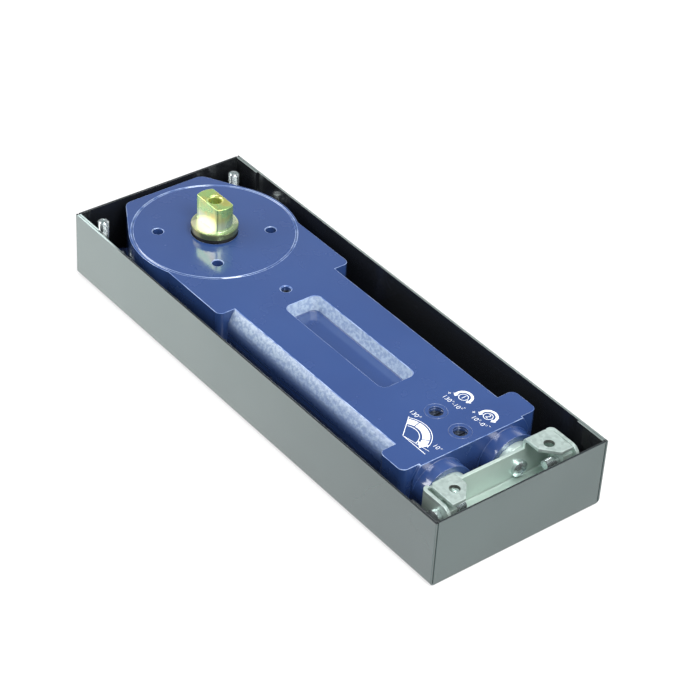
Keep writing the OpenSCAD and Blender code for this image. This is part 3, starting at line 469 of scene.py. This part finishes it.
# yellow passivated zinc, whose film shifts between straw, green and rose, with a painted highlight on the
# flats and painted shade on the collar and round sides
passivation = {
    "film": [
        (0.0, screen(168, 172, 100)),
        (0.36, screen(212, 214, 124)),
        (0.5, screen(180, 222, 140)),
        (0.62, screen(226, 218, 128)),
        (0.8, screen(214, 182, 126)),
    ],
    # painted highlight colour for a band low on the flats
    "pale": screen(236, 242, 222),
    "glintStart": (43.2 * mm, 43.8 * mm),
    "glintEnd": (46.5 * mm, 52 * mm),
    "collar": screen(92, 94, 66),
    "collarTop": (43.1 * mm, 43.3 * mm),
    "side": screen(110, 150, 92),
    "sideAt": (7 * mm, 8 * mm),
    "sideStart": (43.3 * mm, 43.5 * mm),
    "sideEnd": (57.6 * mm, 57.8 * mm),
    "axisX": -100 * mm,
}


def makeYellowZinc():
    zinc = Finish("yellowZinc")
    cloud = zinc.noise(0.006, 3, 0.55)
    zones = passivation
    # painted highlight: a pale band low on the spindle's flats
    pale = zinc.z.between(*zones["glintStart"]) * (1 - zinc.z.between(*zones["glintEnd"]))
    ramp = zinc.node("ValToRGB", {"stops": zones["film"]}, {0: cloud})
    turned = zinc.noise(0.0008, 2)
    film = zinc.mix(pale * 0.7, ramp, zones["pale"])
    # painted shade: the collar below its top is darkened
    film = zinc.mix((1 - zinc.z.between(*zones["collarTop"])) * 0.85, film, zones["collar"])
    # painted shade, with the film's green tone: the spindle's round sides are darker and greener than its
    # flats
    roundSideShade = abs(zinc.x - zones["axisX"]).between(*zones["sideAt"])
    roundSideShade = roundSideShade * zinc.z.between(*zones["sideStart"]) * (1 - zinc.z.between(*zones["sideEnd"]))
    film = zinc.mix(roundSideShade * 0.5, film, zones["side"])
    zinc.set(baseColor=film, metallic=0.72, roughness=0.2 + cloud * 0.14, coat=0.5, coatRoughness=0.08,
             normal=zinc.bump(turned, 0.02 * mm, 0.3))
    return zinc.material


def makeSteel(name, colour, dull, rough):
    steel = Finish(name)
    film = steel.noise(0.004, 3)
    grain = steel.noise(0.0005, 2)
    steel.set(baseColor=steel.mix(film.between(0.3, 0.7), colour, dull), metallic=1.0,
              roughness=rough + film * 0.1, normal=steel.bump(grain, 0.02 * mm, 0.25))
    return steel.material


def makeRubber():
    rubber = Finish("blackRubber")
    bloom = rubber.noise(0.004, 3)
    rubber.set(baseColor=rubber.mix(bloom.between(0.4, 0.8) * 0.5, screen(22, 23, 24), screen(52, 54, 56)),
               roughness=0.5 + bloom * 0.2, normal=rubber.bump(rubber.noise(0.0006, 2), 0.03 * mm, 0.4))
    return rubber.material


def makePrint():
    ink = Finish("whiteInk")
    wear = ink.noise(0.0012, 3)
    ink.set(baseColor=ink.mix(wear.between(0.62, 0.8) * 0.35, screen(240, 243, 246), screen(180, 194, 220)),
            roughness=0.35 + wear * 0.1)
    return ink.material


placeCamera()
hangLamps()
makeRoom()
print("camera, lamps and room ready")

finishes = {
    "box_paint": makeBoxPaint(),
    "body_enamel": makeEnamel("castEnamel", True),
    "cover_enamel": makeEnamel("machinedEnamel", False),
    # the last colour given to the sheet zinc is its bracket web with painted light
    "bright_zinc": makeZinc("sheetZinc", screen(164, 182, 176), screen(198, 214, 209), 0.0016, 0.55, 0.3,
                            screen(218, 236, 226)),
    "screw_zinc": makeZinc("screwZinc", screen(200, 214, 214), screen(232, 240, 240), 0.003, 0.9, 0.14),
    "yellow_zinc": makeYellowZinc(),
    "ground_steel": makeSteel("groundSteel", screen(205, 207, 210), screen(180, 182, 186), 0.15),
    "oiled_steel": makeSteel("oiledSteel", screen(160, 162, 165), screen(120, 120, 122), 0.25),
    "spring_steel": makeSteel("springSteel", screen(120, 122, 126), screen(84, 85, 88), 0.3),
    "black_rubber": makeRubber(),
}
bareEdge = makeBareEdge()
whiteInk = makePrint()
print("finishes ready:", len(finishes))

# how the CAD nodes' edges are broken: width in mm, and whether the edge is bare
edges = {
    "cement_box": (0.25, False),
    "body_casting": (0.25, True),
    "bearing_cover": (0.15, True),
    "valve_collars": (0.2, False),
    "adjusting_bracket": (0.3, False),
    "threaded_blocks": (0.3, False),
    "spindle": (0.45, False),
    "clamp_nuts": (0.4, False),
    "near_plug": (0.4, False),
    "far_plug": (0.4, False),
}
# lengths in mm and angles in degrees
dressing = {"weld": 0.002, "flatAngle": 0.5, "sharpAngle": 35, "bevelSegments": 2, "normalWeight": 100}


def dressNodes():
    slots = {part["node"]: part["material_slot"] for part in frame["record"]["subparts"]}
    for name, thing in frame["nodes"].items():
        thing.data.materials.clear()
        thing.data.materials.append(finishes[slots[name]])
        thing.data.polygons.foreach_set("use_smooth", [True] * len(thing.data.polygons))
        weld = thing.modifiers.new("joinTriangles", "WELD")
        weld.merge_threshold = dressing["weld"] * mm
        if name in edges:
            width, bare = edges[name]
            flat = thing.modifiers.new("mergeFlats", "DECIMATE")
            flat.decimate_type = "DISSOLVE"
            flat.angle_limit = math.radians(dressing["flatAngle"])
            bevel = thing.modifiers.new("breakEdges", "BEVEL")
            bevel.limit_method = "ANGLE"
            bevel.angle_limit = math.radians(dressing["sharpAngle"])
            bevel.width = width * mm
            bevel.segments = dressing["bevelSegments"]
            bevel.use_clamp_overlap = False
            even = thing.modifiers.new("evenNormals", "WEIGHTED_NORMAL")
            even.weight = dressing["normalWeight"]
            even.keep_sharp = False
            if bare:
                thing.data.materials.append(bareEdge)
                bevel.material = 1
        else:
            split = thing.modifiers.new("keepEdges", "EDGE_SPLIT")
            split.split_angle = math.radians(dressing["sharpAngle"])
    print("CAD nodes dressed")


dressNodes()


def squeezeSprings():
    for side in ("near", "far"):
        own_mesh(frame["nodes"][side + "_spring"])


squeezeSprings()


def finishPiece(shape, name, body, material):
    bmesh.ops.remove_doubles(shape, verts=shape.verts, dist=0.001 * mm)
    bmesh.ops.recalc_face_normals(shape, faces=shape.faces)
    data = bpy.data.meshes.new(name)
    shape.to_mesh(data)
    shape.free()
    data.materials.append(material)
    piece = bpy.data.objects.new(name, data)
    bpy.context.scene.collection.objects.link(piece)
    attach(piece, body)


# raised screw threads on the CAD's plain shanks; sizes in mm
threads = {
    "nearLevelThread": {"body": "near_level_screw", "foot": (-142.5, -43.2, 14.3), "length": 21.4,
                        "radius": 2.69, "lean": 0},
    "farLevelThread": {"body": "far_level_screw", "foot": (-142.5, 43.2, 14.3), "length": 21.4,
                       "radius": 2.69, "lean": 0},
    "nearClampThread": {"body": "box", "foot": (-130, -41, 18.2), "length": 3.2, "radius": 2.69, "lean": 0},
    "farClampThread": {"body": "box", "foot": (-130, 41, 18.2), "length": 3.2, "radius": 2.69, "lean": 0},
    "nearSideThread": {"body": "near_side_screw", "foot": (140, -25.6, 28), "length": 4.4,
                       "radius": 2.25, "lean": 90},
    "farSideThread": {"body": "far_side_screw", "foot": (140, 25.6, 28), "length": 4.4,
                      "radius": 2.25, "lean": -90},
}
# the crest's two edges are shares of the pitch
threadForm = {"height": 0.32, "pitch": 0.8, "sunk": 0.15, "crest": (0.42, 0.58), "steps": 20}


def cutThread(name, thread):
    form = threadForm
    turns = thread["length"] / form["pitch"]
    shape = bmesh.new()
    r, h, p = thread["radius"] * mm, form["height"] * mm, form["pitch"] * mm
    root = r - form["sunk"] * mm
    low, high = form["crest"]
    spots = [(root, 0), (r + h, low * p), (r + h, high * p), (root, p)]
    ring = [shape.verts.new((x, 0, z)) for x, z in spots]
    for a, b in zip(ring, ring[1:]):
        shape.edges.new((a, b))
    bmesh.ops.spin(shape, geom=shape.verts[:] + shape.edges[:], cent=(0, 0, 0), axis=(0, 0, 1),
                   dvec=(0, 0, p / form["steps"]), angle=2 * math.pi * turns,
                   steps=round(turns * form["steps"]))
    bmesh.ops.holes_fill(shape, edges=[e for e in shape.edges if e.is_boundary], sides=8)
    lean = Matrix.Rotation(math.radians(thread["lean"]), 3, "X")
    bmesh.ops.rotate(shape, verts=shape.verts, cent=(0, 0, 0), matrix=lean)
    bmesh.ops.translate(shape, verts=shape.verts, vec=Vector(thread["foot"]) * mm)
    finishPiece(shape, name, thread["body"], finishes["screw_zinc"])


for name, thread in threads.items():
    cutThread(name, thread)
print("threads cut:", len(threads))


# white legends beside the valves: places and sizes in mm on the casting's top face
legend = {
    "face": 38.0,
    "lift": 0.01,
    "film": 0.03,
    "boldness": -0.04,
    "fontScale": 1.55,
    "quadrant": {"centre": (93.0, -25.3), "bandIn": 9.4, "bandOut": 13.2, "from": 24, "to": 130,
                 "marks": [38, 104], "markGap": 3, "headPast": 1.5, "tip": 3, "tipOut": 0.4,
                 "outerArc": 14.4, "outerFrom": 16, "outerTo": 130,
                 "innerArc": 8.2, "innerFrom": 12, "innerTo": 124,
                 "rays": [(15.4, 130, 1), (17.0, 0, 1), (16.6, 10, 0.7)], "line": 0.32},
    "dials": [{"centre": (86.6, 18.3), "ring": 2.5}, {"centre": (105.0, 18.6), "ring": 2.5}],
    "dialRing": (-0.2, 0.12),
    "dialArc": {"in": 3.7, "out": 5.1, "from": 0, "to": 196, "headPast": 0.8, "tip": 26},
    "words": [
        ("130°", (83.7, -10.2), 2.5), ("10°", (109.5, -17.4), 2.5),
        ("130°-10°", (86.8, 10.9), 2.5), ("10°-0°", (105.6, 12.2), 2.5),
        ("1", (86.6, 18.3), 3.0), ("2", (105.0, 18.6), 3.0),
        ("+", (80.0, 14.6), 2.6), ("-", (93.4, 13.7), 2.6),
        ("+", (98.4, 14.7), 2.6), ("-", (111.4, 14.6), 2.6),
    ],
}


def stripAlongArc(shape, centre, inner, outer, start, end, steps=24):
    angle = math.radians(start)
    spots = [(centre[0] + r * math.cos(angle), centre[1] + r * math.sin(angle)) for r in (inner, outer)]
    pair = [shape.verts.new((x * mm, y * mm, 0)) for x, y in spots]
    edge = shape.edges.new(pair)
    bmesh.ops.spin(shape, geom=pair + [edge], cent=(centre[0] * mm, centre[1] * mm, 0), axis=(0, 0, 1),
                   angle=math.radians(end - start), steps=steps)


def flatShape(shape, spots):
    shape.faces.new([shape.verts.new((x * mm, y * mm, 0)) for x, y in spots])


def lineBetween(shape, a, b, width):
    a, b = Vector(a), Vector(b)
    side = (b - a).normalized().orthogonal() * width / 2
    flatShape(shape, [a + side, a - side, b - side, b + side])


def onArc(centre, radius, angle):
    a = math.radians(angle)
    return (centre[0] + radius * math.cos(a), centre[1] + radius * math.sin(a))


def drawQuadrant(shape):
    q = legend["quadrant"]
    c = q["centre"]
    marks = [q["from"]] + q["marks"] + [q["to"]]
    half = q["markGap"] / 2
    for start, end in zip(marks, marks[1:]):
        stripAlongArc(shape, c, q["bandIn"], q["bandOut"], start + half, end - half, 12)
    middle = (q["bandIn"] + q["bandOut"]) / 2
    past = q["headPast"]
    flatShape(shape, [onArc(c, q["bandIn"] - past, q["from"]), onArc(c, q["bandOut"] + past, q["from"]),
                      onArc(c, middle + q["tipOut"], q["tip"])])
    for arc in ("outer", "inner"):
        edge = q[arc + "Arc"]
        stripAlongArc(shape, c, edge - q["line"], edge, q[arc + "From"], q[arc + "To"])
    for length, angle, weight in q["rays"]:
        lineBetween(shape, c, onArc(c, length, angle), q["line"] * weight)


def drawDial(shape, dial):
    arc = legend["dialArc"]
    c = dial["centre"]
    inward, outward = legend["dialRing"]
    stripAlongArc(shape, c, dial["ring"] + inward, dial["ring"] + outward, 0, 360, 32)
    stripAlongArc(shape, c, arc["in"], arc["out"], arc["from"], arc["to"])
    middle = (arc["in"] + arc["out"]) / 2
    past = arc["headPast"]
    for end, tip in ((arc["from"], -arc["tip"]), (arc["to"], arc["tip"])):
        flatShape(shape, [onArc(c, arc["in"] - past, end), onArc(c, arc["out"] + past, end),
                          onArc(c, middle, end + tip)])


def drawWords(shape):
    for text, place, height in legend["words"]:
        curve = bpy.data.curves.new("legendWords", "FONT")
        curve.body = text
        curve.size = height * legend["fontScale"] * mm
        curve.align_x = "CENTER"
        curve.align_y = "CENTER"
        curve.resolution_u = 3
        curve.offset = legend["boldness"] * mm
        holder = bpy.data.objects.new("legendWords", curve)
        bpy.context.scene.collection.objects.link(holder)
        bpy.context.view_layer.update()
        flat = bpy.data.meshes.new_from_object(holder)
        flat.transform(Matrix.Translation((place[0] * mm, place[1] * mm, 0)))
        shape.from_mesh(flat)
        bpy.data.objects.remove(holder)
        bpy.data.curves.remove(curve)
        bpy.data.meshes.remove(flat)


def printLegends():
    shape = bmesh.new()
    drawQuadrant(shape)
    for dial in legend["dials"]:
        drawDial(shape, dial)
    drawWords(shape)
    bmesh.ops.recalc_face_normals(shape, faces=shape.faces)
    down = [f for f in shape.faces if f.normal.z < 0]
    bmesh.ops.reverse_faces(shape, faces=down)
    made = bmesh.ops.extrude_face_region(shape, geom=shape.faces[:])
    top = [v for v in made["geom"] if isinstance(v, bmesh.types.BMVert)]
    bmesh.ops.translate(shape, verts=top, vec=(0, 0, legend["film"] * mm))
    height = (legend["face"] + legend["lift"]) * mm
    bmesh.ops.translate(shape, verts=shape.verts, vec=(0, 0, height))
    finishPiece(shape, "valveLegends", "unit", whiteInk)


printLegends()
print("legends printed")
